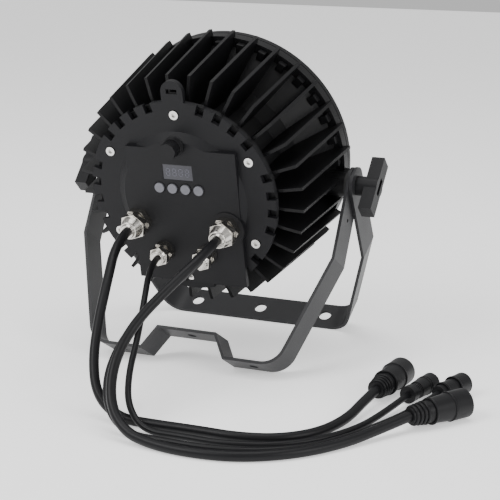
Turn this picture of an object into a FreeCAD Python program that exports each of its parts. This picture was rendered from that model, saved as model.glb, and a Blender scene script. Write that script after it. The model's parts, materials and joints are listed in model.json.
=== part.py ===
import FreeCAD, Part
import math
import os
import Sketcher

# Par can light: a finned round housing on a double bracket, with glands and four cables.
# Lamp pieces are drawn on the lamp's own axis (local Y, rear positive) and placed by lamp_seat().

V = FreeCAD.Vector
doc = FreeCAD.newDocument("par_can_light")
sheet = doc.addObject("Spreadsheet::Sheet", "Dims")
rows = [0]
nodes = []

DIMENSIONS = [
    ("lamp_tilt", 12.59), ("axis_lift", 18.9), ("front_angle", 28.75), ("rear_angle", 30.12),
    ("strip_width", 33), ("strip_gauge", 3), ("front_reach", 184.06), ("rear_reach", 186.14),
    ("front_half", 137.87), ("rear_half", 134.6), ("bend_depth", 79.2), ("bend_slope", 18.24),
    ("bar_corner", 24), ("top_over", 16.5), ("raise_height", 22), ("raise_half", 30),
    ("riser_foot", 43), ("pivot_hole", 5), ("stud_radius", 4.94), ("front_hole", 6.5),
    ("front_pitch", 74), ("rear_hole", 4.5), ("rear_pitch", 70), ("lock_hole", 2),
    ("lock_drop", 36), ("fin_gauge", 3), ("fin_count", 32), ("fin_rear", 87.5),
    ("fin_kink_y", 84.3), ("fin_kink", 115.4), ("fin_tip", 125.6), ("fin_tip_y", -17),
    ("fin_inner", 98), ("core_radius", 80), ("cavity_radius", 74), ("seat_y", 94),
    ("seat_radius", 92), ("deck_y", -8), ("deck_gauge", 8), ("rim_radius", 120),
    ("rim_front", -25.6), ("rim_rear", -15), ("rim_inner", 106), ("cover_radius", 95),
    ("cover_y", 95.5), ("cover_face", 100.8), ("plateau_face", 106), ("plateau_half", 56),
    ("screw_circle", 82), ("boss_radius", 12), ("boss_face", 128.3), ("washer_gauge", 3),
    ("knob_face", 138.2), ("knob_end", 160), ("button_radius", 4.75), ("button_pitch", 13.4),
    ("button_z", 10.7), ("window_wide", 30), ("window_high", 15), ("window_z", 27),
    ("gland_x", 46), ("gland_z", -26), ("small_x", 22), ("small_z", -55),
    ("gland_end", 134), ("small_end", 126), ("vent_z", 54), ("power_radius", 4.5),
    ("data_radius", 3), ("bezel_front", -32.6), ("bezel_rear", -26.6), ("bezel_inner", 103),
    ("bezel_screw_circle", 112.5), ("lens_radius", 12.5), ("lens_inner", 31), ("lens_outer", 74),
    ("board_gauge", 1.6), ("frame_shift", 16.15),
]


def cell(alias, text):
    rows[0] += 1
    sheet.set("A%d" % rows[0], alias)
    sheet.set("B%d" % rows[0], text)
    sheet.setAlias("B%d" % rows[0], alias)


for alias, number in DIMENSIONS:
    cell(alias, str(number))
cell("stand_height", "=(front_reach + strip_gauge) * cos(front_angle * 1 deg)"
     " + strip_width / 2 * sin(front_angle * 1 deg)")
cell("bend_run", "=tan(bend_slope * 1 deg)")
cell("bend_skew", "=strip_gauge / cos(bend_slope * 1 deg)")
doc.recompute()


def val(alias):
    return float(getattr(sheet, alias))


def number(term):
    """Value of a plain number, an alias, or (alias, offset) or (alias, offset, factor)."""
    if isinstance(term, str):
        return val(term)
    if isinstance(term, tuple):
        return val(term[0]) * (term[2] if len(term) > 2 else 1) + term[1]
    return float(term)


def formula(term):
    """The same value as an expression on the spreadsheet."""
    if isinstance(term, str):
        return "Dims.%s" % term
    if isinstance(term, tuple):
        factor = term[2] if len(term) > 2 else 1
        return "Dims.%s * %s + %s" % (term[0], factor, term[1])
    return str(term)


def bind(obj, prop, term):
    if isinstance(term, (str, tuple)):
        obj.setExpression(prop, formula(term))


AXES = {"x": FreeCAD.Rotation(V(0, 1, 0), 90), "y": FreeCAD.Rotation(V(1, 0, 0), -90),
        "z": FreeCAD.Rotation()}


def rod(name, radius, start, end, at=(0, 0), axis="y"):
    """Cylinder along an axis from start to end; at gives the two other coordinates."""
    obj = doc.addObject("Part::Cylinder", name)
    obj.Radius = number(radius)
    bind(obj, "Radius", radius)
    obj.Height = number(end) - number(start)
    if isinstance(end, (str, tuple)) or isinstance(start, (str, tuple)):
        obj.setExpression("Height", "(%s) - (%s)" % (formula(end), formula(start)))
    spot = {"x": (start, at[0], at[1]), "y": (at[0], start, at[1]), "z": (at[0], at[1], start)}
    base = spot[axis]
    obj.Placement = FreeCAD.Placement(V(*[number(b) for b in base]), AXES[axis])
    for prop, term in zip("xyz", base):
        bind(obj, "Placement.Base.%s" % prop, term)
    return obj


def block(name, low, high):
    obj = doc.addObject("Part::Box", name)
    for prop, a, b in zip(("Length", "Width", "Height"), low, high):
        setattr(obj, prop, number(b) - number(a))
        if isinstance(a, (str, tuple)) or isinstance(b, (str, tuple)):
            obj.setExpression(prop, "(%s) - (%s)" % (formula(b), formula(a)))
    obj.Placement.Base = V(*[number(a) for a in low])
    for prop, term in zip("xyz", low):
        bind(obj, "Placement.Base.%s" % prop, term)
    return obj


def fuse(name, parts):
    obj = doc.addObject("Part::MultiFuse", name)
    obj.Shapes = parts
    return obj


def group(name, parts):
    obj = doc.addObject("Part::Compound", name)
    obj.Links = parts
    return obj


def cut(name, base, tools):
    obj = doc.addObject("Part::Cut", name)
    obj.Base = base
    obj.Tool = tools[0] if len(tools) == 1 else group(name + "_tools", tools)
    return obj


def ring(name, outer, inner, start, end, at=(0, 0), axis="y"):
    return cut(name, rod(name + "_rim", outer, start, end, at, axis),
               [rod(name + "_bore", inner, (start, -1) if isinstance(start, str) else start - 1,
                    (end, 1) if isinstance(end, str) else end + 1, at, axis)])


def around(name, count, circle, radius, start, end, phase=0.0):
    """Cylinders along Y, equally spaced on a circle."""
    out = []
    for k in range(count):
        a = math.radians(phase + 360.0 * k / count)
        spot = ((circle, 0, round(math.sin(a), 6)), (circle, 0, round(math.cos(a), 6)))
        out.append(rod("%s_%d" % (name, k + 1), radius, start, end, spot))
    return out


def outline(body, name, plane, points, turn=0.0):
    """Closed polygon sketch on an origin plane; every corner is dimensioned from the sheet."""
    sketch = body.newObject("Sketcher::SketchObject", name)
    index = {"XY": 3, "XZ": 4, "YZ": 5}[plane]
    sketch.AttachmentSupport = (body.Origin.OriginFeatures[index], [""])
    sketch.MapMode = "FlatFace"
    if turn:
        spin = FreeCAD.Rotation(V(1, 0, 0), turn)
        sketch.AttachmentOffset = FreeCAD.Placement(V(0, 0, 0), spin)
    flat = [V(number(p[0]), number(p[1]), 0) for p in points]
    count = len(flat)
    for i in range(count):
        sketch.addGeometry(Part.LineSegment(flat[i], flat[(i + 1) % count]), False)
    for i in range(count):
        sketch.addConstraint(Sketcher.Constraint("Coincident", i, 2, (i + 1) % count, 1))
    for i, point in enumerate(points):
        for kind, term, value in (("DistanceX", point[0], flat[i].x), ("DistanceY", point[1], flat[i].y)):
            spot = sketch.addConstraint(Sketcher.Constraint(kind, -1, 1, i, 1, value))
            bind(sketch, "Constraints[%d]" % spot, term)
    return sketch


def turned(name, points):
    """Body of revolution about the lamp's Y axis; points are (y, radius)."""
    body = doc.addObject("PartDesign::Body", name)
    sketch = outline(body, name + "_profile", "YZ", points)
    spin = body.newObject("PartDesign::Revolution", name + "_turn")
    spin.Profile = sketch
    spin.ReferenceAxis = (sketch, ["H_Axis"])
    spin.Angle = 360
    body.Tip = spin
    doc.recompute()
    return body


def node(obj, label):
    obj.Label = label
    nodes.append((obj, label))
    return obj


def lamp_seat(obj):
    """Tilt the lamp about its pivot and lift it to standing height."""
    tilt = math.radians(val("lamp_tilt"))
    lift = val("axis_lift")
    base = V(0, lift * math.sin(tilt) - val("frame_shift"),
             val("stand_height") + lift * math.cos(tilt))
    obj.Placement = FreeCAD.Placement(base, FreeCAD.Rotation(V(1, 0, 0), -val("lamp_tilt")))
    obj.setExpression("Placement.Base.y", "Dims.axis_lift * sin(Dims.lamp_tilt * 1 deg) - Dims.frame_shift")
    obj.setExpression("Placement.Base.z",
                      "Dims.stand_height + Dims.axis_lift * cos(Dims.lamp_tilt * 1 deg)")
    return obj


def lamp_node(obj, label):
    return node(lamp_seat(obj), label)


def wrapped(name, obj):
    """A fused holder, so that a lone primitive keeps its own place inside the lamp's frame."""
    return group(name, [obj]) if obj.TypeId in ("Part::Cylinder", "Part::Box") else obj


# ---------------------------------------------------------------- housing
def housing():
    profile = [("deck_y", 0), ("deck_y", "rim_inner"), ("rim_front", "rim_inner"),
               ("rim_front", "rim_radius"), ("rim_rear", "rim_radius"), ("rim_rear", 111),
               (-10, 108), (18, 87), (38, "core_radius"), (("seat_y", -6), "core_radius"),
               (("seat_y", -6), "seat_radius"), ("seat_y", "seat_radius"),
               ("seat_y", "cavity_radius"), (("deck_y", 8), "cavity_radius"), (("deck_y", 8), 0)]
    body = turned("housing_core", profile)
    fin = [("fin_rear", 77), ("fin_rear", "fin_inner"), ("fin_kink_y", "fin_kink"),
           ("fin_tip_y", "fin_tip"), (("fin_tip_y", -3.5), "fin_tip"),
           (("fin_tip_y", -3.5), 118), (-17, 113), (-7, 104.5), (17, 81), (38, 77)]
    sketch = outline(body, "fin_profile", "YZ", fin, turn=180.0 / val("fin_count"))
    pad = body.newObject("PartDesign::Pad", "fin")
    pad.Profile = sketch
    pad.Midplane = True
    pad.Length = val("fin_gauge")
    pad.setExpression("Length", "Dims.fin_gauge")
    body.Tip = pad
    doc.recompute()
    fins = body.newObject("PartDesign::PolarPattern", "fins")
    fins.Originals = [pad]
    fins.Axis = (body.getObject("housing_core_profile"), ["H_Axis"])
    fins.Angle = 360
    fins.Occurrences = int(val("fin_count"))
    fins.setExpression("Occurrences", "Dims.fin_count")
    body.Tip = fins
    doc.recompute()
    right = rod("boss_right", "boss_radius", ("boss_face", 0, -1), -105.5, (0, ("axis_lift", 0, -1)), "x")
    left = rod("boss_left", "boss_radius", 105.5, "boss_face", (0, ("axis_lift", 0, -1)), "x")
    whole = fuse("housing_whole", [body, right, left])
    holes = around("seat_hole", 6, "screw_circle", 2.6, 84, 96)
    holes += around("rim_hole", 8, "bezel_screw_circle", 2.1, -27, -17, 22.5)
    return lamp_node(cut("housing_cast", whole, holes), "housing")


def rear_cover():
    body = doc.addObject("PartDesign::Body", "cover_plate")
    disc = [("cover_y", 0), ("cover_y", "cover_radius"), ("cover_face", "cover_radius"),
            ("cover_face", 66), (("plateau_face", 0), 58), ("plateau_face", 0)]
    sketch = outline(body, "cover_profile", "YZ", disc)
    spin = body.newObject("PartDesign::Revolution", "cover_turn")
    spin.Profile = sketch
    spin.ReferenceAxis = (sketch, ["H_Axis"])
    spin.Angle = 360
    body.Tip = spin
    doc.recompute()
    rise = block("plateau_foot", (("plateau_half", -4, -1), "cover_face", -86),
                 (("plateau_half", -4), "plateau_face", 50))
    tab = block("eyelet_tab", (-11, "cover_y", 78), (11, "cover_face", 104))
    crown = rod("eyelet_crown", 11, "cover_y", "cover_face", (0, 104))
    halo = rod("gland_boss", 17, "cover_y", ("plateau_face", 1), (("gland_x", 0, -1), "gland_z"))
    whole = fuse("cover_whole", [body, rise, tab, crown, halo])
    tools = around("cover_screw_hole", 6, "screw_circle", 2.7, 94, 108)
    tools += around("cover_screw_seat", 6, "screw_circle", 5, 98, 112)
    count = int(val("fin_count"))
    for k in range(count):
        angle = 360.0 / count * (k + 0.5)
        if min(abs((angle - 60 * j + 180) % 360 - 180) for j in range(6)) < 6:
            continue
        slot = block("notch_%d" % (k + 1), (-4, 94, 86), (4, 102, 97))
        turn = FreeCAD.Rotation(V(0, 1, 0), angle)
        slot.Placement = FreeCAD.Placement(turn.multVec(V(-4, 94, 86)), turn)
        tools.append(slot)
    tools.append(block("eyelet_slot", (-5.5, 94, 102.4), (5.5, 102, 106.9)))
    tools.append(block("window_opening", (("window_wide", -0.2, -0.5), 90, ("window_z", -7.7)),
                       (("window_wide", 0.2, 0.5), 110, ("window_z", 7.7))))
    for k in (-1.5, -0.5, 0.5, 1.5):
        tools.append(rod("button_hole_%d" % int(k * 2 + 4), ("button_radius", 0.3), 90, 110,
                         (("button_pitch", 0, k), "button_z")))
    for side in (1, -1):
        tools.append(rod("gland_hole", 8, 90, 110, (("gland_x", 0, side), "gland_z")))
        tools.append(rod("small_hole", 6, 90, 110, (("small_x", 0, side), "small_z")))
    tools.append(rod("vent_hole", 4, 90, 110, (0, "vent_z")))
    return lamp_node(cut("cover_cut", whole, tools), "rear_cover")


def gland(label, across, thread, at, end, dome):
    """Hexagon body, domed nut and threaded tail on the cover."""
    hexagon = doc.addObject("Part::Prism", label + "_hex")
    hexagon.Polygon = 6
    hexagon.Circumradius = across / math.sqrt(3)
    hexagon.Height = 8
    hexagon.Placement = FreeCAD.Placement(V(number(at[0]), val("plateau_face"), number(at[1])), AXES["y"])
    if label == "gland_power_out":
        hexagon.Placement.Base.y += 1
        hexagon.Height = 7
    nut = doc.addObject("Part::Prism", label + "_nut")
    nut.Polygon = 6
    nut.Circumradius = (across - 1) / math.sqrt(3)
    nut.Height = 7
    nut.Placement = FreeCAD.Placement(V(number(at[0]), val("plateau_face") + 9, number(at[1])),
                                      FreeCAD.Rotation(V(0, 1, 0), 20).multiply(AXES["y"]))
    neck = rod(label + "_neck", across / 2 - 1.5, 113, 116, at)
    cone = doc.addObject("Part::Cone", label + "_dome")
    cone.Radius1 = across / 2 - 0.8
    cone.Radius2 = dome
    cone.Height = val(end) - 122
    cone.setExpression("Height", "Dims.%s - 122" % end)
    cone.Placement = FreeCAD.Placement(V(number(at[0]), 122, number(at[1])), AXES["y"])
    tail = rod(label + "_tail", thread, 90.5, 108, at)
    return lamp_node(fuse(label + "_all", [hexagon, nut, neck, cone, tail]), label)


def rear_fittings():
    lamp_node(ring("cover_seal", 78.6, 75, "seat_y", "cover_y"), "cover_gasket")
    screws = []
    heads = around("cover_head", 6, "screw_circle", 4.4, 98, 101.6)
    shanks = around("cover_shank", 6, "screw_circle", 2.5, 85, 98)
    sockets = around("cover_socket", 6, "screw_circle", 2.2, 99.6, 102)
    for k in range(6):
        solid = fuse("cover_screw_%d" % (k + 1), [heads[k], shanks[k]])
        screws.append(cut("cover_screw_cut_%d" % (k + 1), solid, [sockets[k]]))
    lamp_node(group("cover_screw_set", screws), "cover_screws")
    pane = block("pane", (("window_wide", 0, -0.5), 102, ("window_z", -7.5)),
                 (("window_wide", 0, 0.5), ("plateau_face", -0.4), ("window_z", 7.5)))
    lamp_node(wrapped("pane_seat", pane), "display_window")
    board = block("board", (-45, 87, -10), (45, 88.6, 45))
    module = block("module", (-17, 88.6, 18), (17, 95.3, 36))
    pillars = [rod("pillar_%d" % k, 3, 88.6, "cover_y", spot)
               for k, spot in enumerate([(-40, -5), (40, -5), (-40, 40), (40, 40)])]
    lamp_node(fuse("board_all", [board, module] + pillars), "control_board")
    for k in range(4):
        spot = (("button_pitch", 0, k - 1.5), "button_z")
        stem = rod("button_stem_%d" % (k + 1), "button_radius", 96, ("plateau_face", 1.6), spot)
        lamp_node(wrapped("button_seat_%d" % (k + 1), stem), "menu_button_%d" % (k + 1))
    collar = rod("vent_collar", 8.7, "plateau_face", ("plateau_face", 6), (0, "vent_z"))
    cap = doc.addObject("Part::Prism", "vent_cap")
    cap.Polygon = 8
    cap.Circumradius = 8.2
    cap.Height = 11
    cap.Placement = FreeCAD.Placement(V(0, val("plateau_face") + 5, val("vent_z")), AXES["y"])
    stem = rod("vent_stem", 3.9, 93, 108, (0, "vent_z"))
    lamp_node(fuse("vent_all", [collar, cap, stem]), "vent_plug")
    for side, end in ((1, "in"), (-1, "out")):
        large = (("gland_x", 0, side), "gland_z")
        small = (("small_x", 0, side), "small_z")
        gland("gland_power_" + end, 24, 7.9, large, "gland_end", 6.5)
        gland("gland_data_" + end, 18, 5.9, small, "small_end", 5.5)
        lamp_node(ring("lock_large_" + end, 12, 8, 91.5, 95.5, large), "locknut_power_" + end)
        lamp_node(ring("lock_small_" + end, 9, 6, 91.5, 95.5, small), "locknut_data_" + end)


def front_optics():
    bezel = cut("bezel_cut", ring("bezel_ring", "rim_radius", "bezel_inner", "bezel_front", "bezel_rear"),
                around("bezel_hole", 8, "bezel_screw_circle", 2.1, -34, -26, 22.5))
    lamp_node(bezel, "front_bezel")
    lamp_node(ring("glass_seal", 109, 103, "bezel_rear", "rim_front"), "glass_gasket")
    lamp_node(wrapped("glass_seat", rod("pane_front", 105.6, "rim_front", ("rim_front", 4))), "front_glass")
    heads = around("bezel_head", 8, "bezel_screw_circle", 3.6, -35.6, "bezel_front", 22.5)
    shanks = around("bezel_shank", 8, "bezel_screw_circle", 1.95, "bezel_front", -18, 22.5)
    pairs = [fuse("bezel_screw_%d" % (k + 1), [heads[k], shanks[k]]) for k in range(8)]
    lamp_node(group("bezel_screw_set", pairs), "bezel_screws")
    plate = rod("lens_disc", 100, -20, -17.5)
    cups = around("lens_in", 6, "lens_inner", "lens_radius", -21, -9.6, 0)
    cups += around("lens_out", 12, "lens_outer", "lens_radius", -21, -9.6, 15)
    lamp_node(fuse("lens_all", [plate] + cups), "lens_plate")
    lamp_node(wrapped("led_seat", rod("led_disc", 100, -9.6, "deck_y")), "led_board")
    lamp_node(wrapped("supply_seat", block("supply", (-48, 0, -32), (48, 44, 34))), "power_supply")


# ---------------------------------------------------------------- brackets and knobs
def bracket(label, half, reach, angle, raised, holes):
    """Bent strip: two arms, an inward bend and a bottom bar, drawn hanging from the pivot."""
    def depth(extra):
        return (reach, extra, -1)

    name = label + "_strip"
    cell(name + "_foot_outer", "=%s - (%s + strip_gauge - bend_depth) * bend_run" % (half, reach))
    cell(name + "_foot_inner", "=%s - (%s - bend_depth) * bend_run - bend_skew" % (half, reach))
    doc.recompute()
    outer = name + "_foot_outer"
    inner = name + "_foot_inner"
    side = [(half, "top_over"), (half, ("bend_depth", 0, -1)), (outer, depth(-val("strip_gauge")))]
    under = []
    over = []
    if raised:
        lift = val("raise_height")
        gauge = val("strip_gauge")
        under = [("riser_foot", depth(-gauge)), ("raise_half", depth(lift - gauge))]
        over = [(("raise_half", 1.3), depth(lift)), (("riser_foot", 1.3), depth(0))]
    back = [(inner, depth(0)), ((half, -3), ("bend_depth", 0.48, -1)), ((half, -3), "top_over")]

    def mirror(point):
        term = point[0]
        if isinstance(term, str):
            return ((term, 0, -1), point[1])
        return ((term[0], -term[1], -1), point[1])

    right = side + under
    points = right + [mirror(p) for p in reversed(right)]
    left_in = [mirror(p) for p in reversed(back)]
    points += left_in + [mirror(p) for p in reversed(over)] + over + back
    body = doc.addObject("PartDesign::Body", name)
    sketch = outline(body, name + "_profile", "XZ", points)
    pad = body.newObject("PartDesign::Pad", name + "_pad")
    pad.Profile = sketch
    pad.Midplane = True
    pad.Length = val("strip_width")
    pad.setExpression("Length", "Dims.strip_width")
    body.Tip = pad
    doc.recompute()

    def edges_at(shape, spots, along):
        found = []
        for k, edge in enumerate(shape.Edges):
            a, b = edge.Vertexes[0].Point, edge.Vertexes[-1].Point
            run = (b - a)
            if abs(abs(run.normalize().dot(along)) - 1) > 1e-6:
                continue
            mid = (a + b) * 0.5
            if any(abs(mid.x - s[0]) < 0.6 and abs(mid.z - s[1]) < 0.6 for s in spots):
                found.append("Edge%d" % (k + 1))
        return found

    floor_out = -(val(reach) + val("strip_gauge"))
    corner = val("bar_corner")
    for tag, x, z, radius in (("in", val(inner), -val(reach), corner - 3),
                              ("out", val(outer), floor_out, corner)):
        last = body.Tip
        round_off = body.newObject("PartDesign::Fillet", name + "_round_" + tag)
        round_off.Base = (last, edges_at(last.Shape, [(x, z), (-x, z)], V(0, 1, 0)))
        round_off.Radius = radius
        body.Tip = round_off
        doc.recompute()
    last = body.Tip
    top = body.newObject("PartDesign::Fillet", name + "_round_top")
    middle = val(half) - 1.5
    top.Base = (last, edges_at(last.Shape, [(middle, val("top_over")), (-middle, val("top_over"))], V(1, 0, 0)))
    top.Radius = 13
    body.Tip = top
    doc.recompute()
    tools = [rod(name + "_pivot_hole", "pivot_hole", -150, 150, (0, 0), "x"),
             rod(name + "_lock_hole", "lock_hole", -150, 150, (0, ("lock_drop", 0, -1)), "x")]
    for k, (spot, radius) in enumerate(holes):
        tools.append(rod(name + "_hole_%d" % k, radius, -200, -150, (spot, 0), "z"))
    bent = cut(name + "_cut", body, tools)
    turn = FreeCAD.Rotation(V(1, 0, 0), number(angle))
    bent.Placement = FreeCAD.Placement(V(0, -val("frame_shift"), val("stand_height")), turn)
    bent.setExpression("Placement.Base.y", "-Dims.frame_shift")
    bent.setExpression("Placement.Base.z", "Dims.stand_height")
    return node(bent, label)


def knob(label, side):
    """Hub with two wings and a sunk oval; it turns on the stud."""
    flip = (lambda a, b: (a, b)) if side > 0 else (lambda a, b: ((b[0], -b[1], -1), (a[0], -a[1], -1)))
    start, end = flip(("knob_face", 0), ("knob_end", 0))
    hub = rod(label + "_hub", 9.5, start, end, (0, 0), "x")
    low, high = flip(("knob_face", 9), ("knob_end", 0))
    wing = block(label + "_wing", (low, -8, -29), (high, 8, 29))
    a, b = flip(("knob_face", -2), ("knob_end", -7))
    bore = rod(label + "_bore", ("stud_radius", 0.06), a, b, (0, 0), "x")
    c, d = flip(("knob_end", -3), ("knob_end", 2))
    dish = block(label + "_dish", (c, -3, -9), (d, 3, 9))
    body = cut(label + "_cut", fuse(label + "_all", [hub, wing]), [bore, dish])
    body.Placement = FreeCAD.Placement(V(0, -val("frame_shift"), val("stand_height")),
                                       FreeCAD.Rotation(V(1, 0, 0), 43))
    body.setExpression("Placement.Base.y", "-Dims.frame_shift")
    body.setExpression("Placement.Base.z", "Dims.stand_height")
    return node(body, label)


def pivots():
    for side, word in ((1, "left"), (-1, "right")):
        spot = (0, ("axis_lift", 0, -1))
        near, far = ("boss_face", 0, side), ("boss_face", 3, 1)
        if side > 0:
            lamp_node(ring("pivot_shim_" + word, 14, "stud_radius", 128.3, 131.3, spot, "x"),
                      "pivot_washer_" + word)
            stud = rod("stud_" + word, "stud_radius", near, ("knob_end", -8), spot, "x")
        else:
            lamp_node(ring("pivot_shim_" + word, 14, "stud_radius", -131.3, -128.3, spot, "x"),
                      "pivot_washer_" + word)
            stud = rod("stud_" + word, "stud_radius", ("knob_end", 8, -1), near, spot, "x")
        lamp_node(wrapped("stud_seat_" + word, stud), "pivot_stud_" + word)
        knob("knob_" + word, side)


# ---------------------------------------------------------------- cables and connectors
ROUTES = {
    "power_in_cable": ("power_radius", [(45, 153, 129), (36, 186, 105), (31, 214, 74), (24, 238, 46),
        (11, 256, 20), (-14, 262, 4.5), (-49, 263, 4.5), (-88, 261.5, 4.5), (-126, 262.5, 4.5),
        (-160, 252, 4.5), (-185, 225, 4.5), (-197, 188, 6), (-200, 150, 11), (-202, 125, 13)]),
    "power_out_cable": ("power_radius", [(-46.5, 156, 129.5), (-33, 194, 110), (-15, 232, 83),
        (-10, 262, 56), (-18, 286, 28), (-38, 299, 9), (-68, 306, 4.5), (-106, 310, 4.5),
        (-146, 303, 4.5), (-184, 278, 4.5), (-212, 241, 4.5), (-232, 206, 8), (-250, 178, 13)]),
    "data_in_cable": ("data_radius", [(18, 138, 105), (5, 174, 87), (-4, 206, 60), (-11, 238, 36),
        (-24, 264, 17), (-46, 277, 3), (-81, 276, 3), (-120, 277.5, 3), (-158, 266, 3),
        (-189, 238, 3), (-210, 200, 3), (-221, 156, 5), (-229, 116, 9)]),
    "data_out_cable": ("data_radius", [(-23.5, 138, 106), (-9, 180, 90), (4, 220, 63), (5, 250, 38),
        (-10, 276, 15), (-36, 289, 3), (-71, 291, 3), (-110, 292, 3), (-150, 284, 3),
        (-187, 257, 3), (-209, 222, 3), (-226, 181, 3), (-242, 140, 5), (-254, 104, 10)]),
}
EXITS = {"power_in_cable": (1, "gland_x", "gland_z", "gland_end"),
         "power_out_cable": (-1, "gland_x", "gland_z", "gland_end"),
         "data_in_cable": (1, "small_x", "small_z", "small_end"),
         "data_out_cable": (-1, "small_x", "small_z", "small_end")}


def lamp_point(x, y, z):
    tilt = math.radians(val("lamp_tilt"))
    up = z + val("axis_lift")
    return V(x, y * math.cos(tilt) + up * math.sin(tilt) - val("frame_shift"),
             -y * math.sin(tilt) + up * math.cos(tilt) + val("stand_height"))


def route_points(route):
    """Route points, given from the pivot's plane, in the part's frame."""
    return [V(x, y - val("frame_shift"), z) for x, y, z in route]


def rounded_path(points):
    """Straight runs joined by tangent arcs; returns the edges, their length and the radii."""
    edges = []
    radii = []
    start = points[0]
    for i in range(1, len(points) - 1):
        before, corner, after = points[i - 1], points[i], points[i + 1]
        u = (corner - before)
        w = (after - corner)
        short = min(u.Length, w.Length)
        u.normalize()
        w.normalize()
        half = u.getAngle(w) / 2
        setback = 0.45 * short
        radii.append(setback / math.tan(half))
        first = corner - u * setback
        second = corner + w * setback
        bisector = (w - u).normalize()
        centre = corner + bisector * (radii[-1] / math.cos(half))
        middle = centre - bisector * radii[-1]
        edges.append(Part.LineSegment(start, first).toShape())
        edges.append(Part.Arc(first, middle, second).toShape())
        start = second
    edges.append(Part.LineSegment(start, points[-1]).toShape())
    return edges, sum(e.Length for e in edges), radii


def cables():
    for label, (radius, route) in ROUTES.items():
        side, across, up, end = EXITS[label]
        start = lamp_point(side * val(across), val(end), val(up))
        points = [start] + route_points(route)
        edges, length, radii = rounded_path(points)
        path = Part.Wire(edges)
        heading = (points[1] - points[0]).normalize()
        disc = Part.Wire([Part.Circle(start, heading, val(radius)).toShape()])
        tube = path.makePipeShell([disc], True, False)
        expected = math.pi * val(radius) ** 2 * length
        obj = doc.addObject("Part::Feature", label + "_run")
        obj.Shape = tube
        node(obj, label)
        print(label, "length %.1f radii %s volume ratio %.4f" % (
            length, [round(r, 1) for r in radii], tube.Volume / expected))


def connector(label, cable, sizes):
    """Turned plug on the end of a cable: strain relief, body and coupling ring."""
    route = route_points(ROUTES[cable][1])
    tip = route[-1]
    heading = tip - route[-2]
    heading.z = 0
    heading.normalize()
    parts = []
    for k, (start, end, radius_a, radius_b) in enumerate(sizes):
        cone = doc.addObject("Part::Cone", "%s_part_%d" % (label, k + 1))
        cone.Radius1 = radius_a
        cone.Radius2 = radius_b if radius_b != radius_a else radius_a + 0.001
        cone.Height = end - start
        cone.Placement = FreeCAD.Placement(tip + heading * start, FreeCAD.Rotation(V(0, 0, 1), heading))
        parts.append(cone)
    last = sizes[-1]
    socket = doc.addObject("Part::Cylinder", label + "_socket")
    socket.Radius = last[3] - 2.5
    socket.Height = 12
    socket.Placement = FreeCAD.Placement(tip + heading * (last[1] - 9),
                                         FreeCAD.Rotation(V(0, 0, 1), heading))
    shell = cut(label + "_cut", fuse(label + "_all", parts), [socket])
    node(shell, label)
    pins = []
    for k in range(3):
        a = math.radians(120 * k + 90)
        side = heading.cross(V(0, 0, 1)) * math.cos(a) + V(0, 0, 1) * math.sin(a)
        pin = doc.addObject("Part::Cylinder", "%s_pin_%d" % (label, k + 1))
        pin.Radius = 1
        pin.Height = 7
        spot = tip + heading * (last[1] - 9) + side * (last[3] * 0.4)
        pin.Placement = FreeCAD.Placement(spot, FreeCAD.Rotation(V(0, 0, 1), heading))
        pins.append(pin)
    node(group(label + "_pins", pins), label + "_pins")


def plugs():
    power = [(0, 22, 7, 10), (22, 44, 11, 12.5), (44, 62, 13, 13)]
    data = [(0, 8, 8, 8), (8, 16, 6.5, 6.5), (16, 45, 8, 8.9)]
    coupling = [(0, 6, 7, 7), (6, 24, 8.5, 8.5), (24, 40, 10, 10)]
    connector("power_in_plug", "power_in_cable", power)
    connector("power_out_plug", "power_out_cable", power)
    connector("data_in_plug", "data_in_cable", data)
    connector("data_out_plug", "data_out_cable", coupling)


housing()
rear_cover()
rear_fittings()
front_optics()
bracket("front_bracket", "front_half", "front_reach", ("front_angle", 0, -1), False,
        [(0, "front_hole"), ("front_pitch", "front_hole"), (("front_pitch", 0, -1), "front_hole")])
bracket("rear_bracket", "rear_half", "rear_reach", "rear_angle", True,
        [(0, "rear_hole"), ("rear_pitch", "rear_hole"), (("rear_pitch", 0, -1), "rear_hole")])
pivots()
cables()
plugs()
doc.recompute()

bad = [o.Name for o in doc.Objects if "Invalid" in o.State or "Error" in o.State]
for obj, label in nodes:
    if obj.Shape.isNull() or not obj.Shape.isValid():
        bad.append(label)
if bad:
    raise RuntimeError("unsound objects: %s" % ", ".join(bad))
os.makedirs("parts", exist_ok=True)
for obj, label in nodes:
    obj.Shape.exportStep("parts/%s.step" % label)
print(len(nodes), "nodes; stand height %.3f" % val("stand_height"))
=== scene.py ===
import json
import math

import bpy
from mathutils import Matrix, Vector


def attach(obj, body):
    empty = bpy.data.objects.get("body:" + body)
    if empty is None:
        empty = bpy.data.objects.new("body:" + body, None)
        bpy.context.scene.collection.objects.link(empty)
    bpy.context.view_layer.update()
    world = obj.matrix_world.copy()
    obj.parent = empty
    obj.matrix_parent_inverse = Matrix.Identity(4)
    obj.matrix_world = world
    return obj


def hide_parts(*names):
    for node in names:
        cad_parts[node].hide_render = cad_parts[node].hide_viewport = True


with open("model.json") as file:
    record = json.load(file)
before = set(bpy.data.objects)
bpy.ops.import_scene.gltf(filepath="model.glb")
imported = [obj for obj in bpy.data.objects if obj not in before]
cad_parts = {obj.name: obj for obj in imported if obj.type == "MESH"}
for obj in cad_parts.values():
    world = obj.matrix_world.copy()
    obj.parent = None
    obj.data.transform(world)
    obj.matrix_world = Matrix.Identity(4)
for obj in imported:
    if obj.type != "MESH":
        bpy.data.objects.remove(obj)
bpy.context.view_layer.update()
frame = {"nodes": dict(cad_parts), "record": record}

MM = 0.001
TILT = math.radians(12.59)      # how far the lamp leans
LIFT = 0.0189                   # the lamp's axis above the pivot line
STAND = 0.171937                # the pivot line above the floor
SHIFT = 0.01615                 # the pivot line in front of the frame's middle
FIN_COUNT = 32
GRAIN_DISTANCE = 0.0006
MOTTLE_SCALE = 22.0
ROUGH_SPREAD = 0.08


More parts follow.
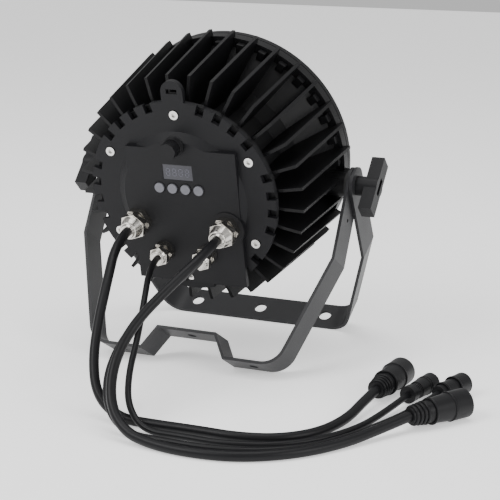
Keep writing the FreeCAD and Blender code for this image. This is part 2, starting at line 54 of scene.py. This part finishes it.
def lamp_point(x, y, z):
    """A point given on the lamp's own axis (metres, Y rearward) in the row frame."""
    up = z + LIFT
    return Vector((x, y * math.cos(TILT) + up * math.sin(TILT) - SHIFT,
                   STAND - y * math.sin(TILT) + up * math.cos(TILT)))


LAMP = Matrix.Translation(lamp_point(0, 0, 0)) @ Matrix.Rotation(-TILT, 4, "X")


# ------------------------------------------------------------------ materials
def surface(name, colour, rough, metal=0.0, grain=900.0, depth=0.15, mottling=0.06, coat=0.0):
    """Principled shader with a fine grain in its height, roughness and colour."""
    mat = bpy.data.materials.new(name)
    mat.use_nodes = True
    tree = mat.node_tree
    shader = tree.nodes["Principled BSDF"]
    shader.inputs["Metallic"].default_value = metal
    shader.inputs["Specular IOR Level"].default_value = 0.5 if metal else 0.2
    shader.inputs["Coat Weight"].default_value = coat
    coords = tree.nodes.new("ShaderNodeTexCoord")
    fine = tree.nodes.new("ShaderNodeTexNoise")
    fine.inputs["Scale"].default_value = grain
    fine.inputs["Detail"].default_value = 3.0
    tree.links.new(coords.outputs["Object"], fine.inputs["Vector"])
    broad = tree.nodes.new("ShaderNodeTexNoise")
    broad.inputs["Scale"].default_value = MOTTLE_SCALE
    broad.inputs["Detail"].default_value = 4.0
    tree.links.new(coords.outputs["Object"], broad.inputs["Vector"])
    span = tree.nodes.new("ShaderNodeMapRange")
    span.inputs["To Min"].default_value = max(0.05, rough - ROUGH_SPREAD)
    span.inputs["To Max"].default_value = min(1.0, rough + ROUGH_SPREAD)
    tree.links.new(broad.outputs["Fac"], span.inputs["Value"])
    tree.links.new(span.outputs["Result"], shader.inputs["Roughness"])
    ramp = tree.nodes.new("ShaderNodeValToRGB")
    ramp.color_ramp.elements[0].position = 0.3
    ramp.color_ramp.elements[1].position = 0.7
    ramp.color_ramp.elements[0].color = [c * (1 - mottling) for c in colour] + [1]
    ramp.color_ramp.elements[1].color = [min(1, c * (1 + mottling)) for c in colour] + [1]
    tree.links.new(broad.outputs["Fac"], ramp.inputs["Fac"])
    tree.links.new(ramp.outputs["Color"], shader.inputs["Base Color"])
    bump = tree.nodes.new("ShaderNodeBump")
    bump.inputs["Strength"].default_value = depth
    bump.inputs["Distance"].default_value = GRAIN_DISTANCE
    tree.links.new(fine.outputs["Fac"], bump.inputs["Height"])
    tree.links.new(bump.outputs["Normal"], shader.inputs["Normal"])
    return mat


def clear(name, colour, rough):
    """The same shader made see-through, for the front glass."""
    mat = surface(name, colour, rough, depth=0.02)
    shader = mat.node_tree.nodes["Principled BSDF"]
    shader.inputs["Transmission Weight"].default_value = 0.9
    shader.inputs["IOR"].default_value = 1.5
    return mat


BLACK = (0.0065, 0.0065, 0.0072)
MATERIALS = {
    "housing_paint": surface("housing_paint", BLACK, 0.42, grain=1400, depth=0.35),
    "cover_paint": surface("cover_paint", (0.0085, 0.0085, 0.0098), 0.46, grain=1500, depth=0.4),
    "bezel_paint": surface("bezel_paint", BLACK, 0.42, grain=1400, depth=0.35),
    "bracket_paint": surface("bracket_paint", (0.026, 0.026, 0.028), 0.42, grain=1100, depth=0.18),
    "cable_jacket": surface("cable_jacket", (0.007, 0.007, 0.008), 0.40, grain=500, depth=0.12),
    "plug_plastic": surface("plug_plastic", (0.009, 0.009, 0.010), 0.42, grain=900, depth=0.2),
    "knob_plastic": surface("knob_plastic", (0.008, 0.008, 0.009), 0.46, grain=1200, depth=0.3),
    "seal_rubber": surface("seal_rubber", (0.015, 0.015, 0.015), 0.7),
    "screw_steel": surface("screw_steel", (0.72, 0.71, 0.69), 0.25, metal=1.0, depth=0.08),
    "nickel": surface("nickel", (0.62, 0.60, 0.56), 0.22, metal=1.0, depth=0.06),
    "pin_metal": surface("pin_metal", (0.75, 0.58, 0.30), 0.3, metal=1.0),
    "window_plastic": surface("window_plastic", (0.045, 0.045, 0.055), 0.22, depth=0.03, coat=0.4),
    "button_plastic": surface("button_plastic", (0.17, 0.17, 0.19), 0.4, depth=0.1),
    "lens_plastic": surface("lens_plastic", (0.75, 0.77, 0.78), 0.12, depth=0.02, coat=0.5),
    "board_green": surface("board_green", (0.03, 0.12, 0.05), 0.4),
    "supply_case": surface("supply_case", (0.55, 0.55, 0.55), 0.35, metal=0.9),
    "washer_nylon": surface("washer_nylon", (0.04, 0.04, 0.04), 0.5),
    "glass": clear("glass", (0.93, 0.95, 0.96), 0.04),
}
LEGEND = surface("legend_ink", (0.13, 0.13, 0.16), 0.4, depth=0.03)

slots = {s["node"]: s["material_slot"] for s in frame["record"]["subparts"]}
for name, obj in frame["nodes"].items():
    obj.data.materials.clear()
    obj.data.materials.append(MATERIALS[slots[name]])


def finish_piece(obj, body, slot, material=None):
    """Give a piece its material, looked up by its slot unless one is passed, and let it ride on its
    body.
    """
    obj.data.materials.append(material or MATERIALS[slot])
    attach(obj, body)
    return obj


def torus(name, centre, axis, major, minor, slot, body="lamp"):
    """A smooth ring around an axis, for ribs, lips, seals and rings."""
    bpy.ops.mesh.primitive_torus_add(major_radius=major, minor_radius=minor, major_segments=40,
                                     minor_segments=10)
    obj = bpy.context.object
    obj.name = name
    turn = Vector(axis).to_track_quat("Z", "Y").to_matrix().to_4x4()
    obj.data.transform(Matrix.Translation(centre) @ turn)
    for face in obj.data.polygons:
        face.use_smooth = True
    return finish_piece(obj, body, slot)


def box(name, low, high, slot, matrix=LAMP, body="lamp", bevel=0.0006, material=None):
    """A block with softened edges, given by two corners in the lamp's own frame."""
    low, high = Vector(low), Vector(high)
    bpy.ops.mesh.primitive_cube_add(size=1)
    obj = bpy.context.object
    obj.name = name
    size = high - low
    obj.data.transform(Matrix.Translation((low + high) / 2) @ Matrix.Diagonal((*size, 1)))
    obj.data.transform(matrix)
    if bevel:
        edge = obj.modifiers.new("edge", "BEVEL")
        edge.width = bevel
        edge.segments = 2
    return finish_piece(obj, body, slot, material)


# ------------------------------------------------------------------ cables
ROUTES = {
    "power_in_cable": (9.0, 493.4, (46, 134, -26), [(45, 153, 129), (36, 186, 105), (31, 214, 74),
        (24, 238, 46), (11, 256, 20), (-14, 262, 4.5), (-49, 263, 4.5), (-88, 261.5, 4.5),
        (-126, 262.5, 4.5), (-160, 252, 4.5), (-185, 225, 4.5), (-197, 188, 6), (-200, 150, 11),
        (-202, 125, 13)]),
    "power_out_cable": (9.0, 503.4, (-46, 134, -26), [(-46.5, 156, 129.5), (-33, 194, 110),
        (-15, 232, 83), (-10, 262, 56), (-18, 286, 28), (-38, 299, 9), (-68, 306, 4.5),
        (-106, 310, 4.5), (-146, 303, 4.5), (-184, 278, 4.5), (-212, 241, 4.5), (-232, 206, 8),
        (-250, 178, 13)]),
    "data_in_cable": (6.0, 494.8, (22, 126, -55), [(18, 138, 105), (5, 174, 87), (-4, 206, 60),
        (-11, 238, 36), (-24, 264, 17), (-46, 277, 3), (-81, 276, 3), (-120, 277.5, 3),
        (-158, 266, 3), (-189, 238, 3), (-210, 200, 3), (-221, 156, 5), (-229, 116, 9)]),
    "data_out_cable": (6.0, 553.4, (-22, 126, -55), [(-23.5, 138, 106), (-9, 180, 90),
        (4, 220, 63), (5, 250, 38), (-10, 276, 15), (-36, 289, 3), (-71, 291, 3), (-110, 292, 3),
        (-150, 284, 3), (-187, 257, 3), (-209, 222, 3), (-226, 181, 3), (-242, 140, 5),
        (-254, 104, 10)]),
}


def cable(name, diameter, length, start, route):
    """A free cable along its route, standing for the CAD cable of the same name."""
    shift = Vector((0, SHIFT, 0))
    points = [lamp_point(*[v * MM for v in start])]
    points += [Vector(p) * MM - shift for p in route]
    curve = bpy.data.curves.new(name + "_look", "CURVE")
    curve.dimensions = "3D"
    curve.bevel_depth = diameter * MM / 2
    curve.bevel_resolution = 6
    curve.use_fill_caps = True
    curve.resolution_u = 24
    line = curve.splines.new("NURBS")
    line.points.add(len(points) - 1)
    for spot, point in zip(line.points, points):
        spot.co = (*point, 1.0)
    line.order_u = 3
    line.use_endpoint_u = True
    obj = bpy.data.objects.new(name + "_look", curve)
    bpy.context.scene.collection.objects.link(obj)
    finish_piece(obj, "lamp", "cable_jacket")
    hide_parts(name)
    return obj, points


def plug_ribs(label, tip, heading, rows):
    """Rings around a connector; each row is the place along it, the radius and the thickness."""
    out = []
    for k, (along, major, minor) in enumerate(rows):
        ring = torus("%s_rib_%d" % (label, k + 1), tip + heading * along * MM, heading,
                     major * MM, minor * MM, "plug_plastic")
        out.append(ring)
    return out


RIBS = {
    "power": [(3, 7.9, 1.3), (7, 8.4, 1.3), (11, 8.9, 1.3), (15, 9.4, 1.3), (22.5, 11.2, 1.0),
              (43, 12.5, 0.9)],
    "data_in": [(10, 6.6, 0.9), (12.5, 6.6, 0.9), (15, 6.7, 0.9), (30, 8.4, 0.5), (33, 8.5, 0.5)],
    "data_out": [(7.5, 8.3, 0.8), (24, 9.6, 0.9), (39, 9.4, 0.8)],
}
for name, (diameter, length, start, route) in ROUTES.items():
    obj, points = cable(name, diameter, length, start, route)
    label = name.replace("_cable", "_plug")
    tip = points[-1]
    heading = tip - points[-2]
    heading.z = 0
    heading.normalize()
    style = "power" if name.startswith("power") else name.replace("_cable", "")
    ribs = plug_ribs(label, tip, heading, RIBS[style])

# ------------------------------------------------------------------ details on the lamp
DISPLAY_Z = 0.027
DISPLAY_FACE = (0.1056, 0.10575)
DIGIT_PITCH = 0.0065
FIRST_DIGIT = 0.0098
HALF_STROKE = 0.0003
HALF_SEGMENT = 0.0013
BAR_HEIGHTS = (0.0035, 0.0, -0.0035)
POST_PLACES = ((-0.0017, 0.0018), (0.0017, 0.0018), (-0.0017, -0.0018), (0.0017, -0.0018))


def segment(name, x, z, half_wide, half_high):
    """One lit stroke of a digit, on the display's face."""
    near, far = DISPLAY_FACE
    z += DISPLAY_Z
    box(name, (x - half_wide, near, z - half_high), (x + half_wide, far, z + half_high),
        "window_plastic", bevel=0, material=LEGEND)


for digit in range(4):
    centre = FIRST_DIGIT - digit * DIGIT_PITCH
    for k, z in enumerate(BAR_HEIGHTS):
        segment("digit_%d_bar_%d" % (digit, k), centre, z, HALF_SEGMENT, HALF_STROKE)
    for k, (dx, z) in enumerate(POST_PLACES):
        segment("digit_%d_post_%d" % (digit, k), centre + dx, z, HALF_STROKE, HALF_SEGMENT)

BUTTON_PITCH = 0.0134
BUTTON_Z = 0.0107
COVER_RING_Y = 0.1061
VENT_Z = 0.054
axis = LAMP.to_3x3() @ Vector((0, 1, 0))
for k in range(4):
    torus("button_ring_%d" % (k + 1), lamp_point((k - 1.5) * BUTTON_PITCH, COVER_RING_Y, BUTTON_Z),
          axis, 0.0056, 0.0004, "cover_paint")
for k, (y, radius) in enumerate([(0.1075, 0.0090), (0.1095, 0.0090), (0.1115, 0.0088)]):
    torus("vent_rib_%d" % (k + 1), lamp_point(0, y, VENT_Z), axis, radius, 0.0007, "knob_plastic")

# each gland's name, place across and up the cover, rearward reach, opening radius and seal plane
GLANDS = (("power_in", 0.046, -0.026, 0.1305, 0.0078, 0.1063),
          ("power_out", -0.046, -0.026, 0.1305, 0.0078, 0.1073),
          ("data_in", 0.022, -0.055, 0.1245, 0.0061, 0.1063),
          ("data_out", -0.022, -0.055, 0.1245, 0.0061, 0.1063))
for name, x, z, reach, radius, seat in GLANDS:
    torus("gland_lip_" + name, lamp_point(x, reach, z), axis, radius, 0.0010, "nickel")
    torus("gland_seal_" + name, lamp_point(x, seat, z), axis, radius + 0.0035, 0.0008,
          "seal_rubber")

for k in range(FIN_COUNT):
    turn = Matrix.Rotation(2 * math.pi * k / FIN_COUNT, 4, "Y")
    box("rim_lug_%d" % (k + 1), (-0.004, -0.0155, 0.108), (0.004, -0.0085, 0.1165), "housing_paint",
        matrix=LAMP @ turn)

# ------------------------------------------------------------------ floor, lights and camera
bpy.ops.mesh.primitive_plane_add(size=8)
floor = bpy.context.object
floor.name = "floor"
paper = surface("paper", (0.97, 0.97, 0.97), 0.9, depth=0.02, mottling=0.01)
paper_shader = next(n for n in paper.node_tree.nodes if n.type == "BSDF_PRINCIPLED")
paper_shader.inputs["Emission Color"].default_value = (1.0, 1.0, 1.0, 1.0)
paper_shader.inputs["Emission Strength"].default_value = 0.55
floor.data.materials.append(paper)

world = bpy.data.worlds.new("studio")
world.use_nodes = True
world.node_tree.nodes["Background"].inputs["Color"].default_value = (1, 1, 1, 1)
world.node_tree.nodes["Background"].inputs["Strength"].default_value = 0.6
bpy.context.scene.world = world


def lamp_light(name, spot, size, power, target=(0, 0.05, 0.15)):
    data = bpy.data.lights.new(name, "AREA")
    data.shape = "DISK"
    data.size = size
    data.energy = power
    light = bpy.data.objects.new(name, data)
    bpy.context.scene.collection.objects.link(light)
    light.location = spot
    light.rotation_mode = "QUATERNION"
    light.rotation_quaternion = (Vector(target) - Vector(spot)).to_track_quat("-Z", "Y")
    return light


lamp_light("key", (0.9, 1.3, 1.5), 1.2, 24)
lamp_light("fill", (-1.6, 0.6, 0.8), 1.0, 12)
lamp_light("top", (0.0, 0.0, 1.8), 1.4, 14)

CAMERA_LENS = 107.83656
CAMERA_SPOT = (-0.5981, 1.32835, 0.4576)
CAMERA_AZIMUTH = math.radians(203.08)
CAMERA_RISE = math.radians(13.87)
CAMERA_ROLL = math.radians(0.2)

data = bpy.data.cameras.new("camera")
data.lens = CAMERA_LENS
data.sensor_width = 36
data.clip_start = 0.05
data.clip_end = 60
camera = bpy.data.objects.new("camera", data)
bpy.context.scene.collection.objects.link(camera)
back = Vector((math.sin(CAMERA_AZIMUTH) * math.cos(CAMERA_RISE),
               -math.cos(CAMERA_AZIMUTH) * math.cos(CAMERA_RISE),
               math.sin(CAMERA_RISE)))
right = Vector((math.cos(CAMERA_AZIMUTH), math.sin(CAMERA_AZIMUTH), 0))
up = back.cross(right)
rolled_right = right * math.cos(CAMERA_ROLL) + up * math.sin(CAMERA_ROLL)
rolled_up = up * math.cos(CAMERA_ROLL) - right * math.sin(CAMERA_ROLL)
turn = Matrix((rolled_right, rolled_up, back)).transposed().to_4x4()
camera.matrix_world = Matrix.Translation(CAMERA_SPOT) @ turn
bpy.context.scene.camera = camera
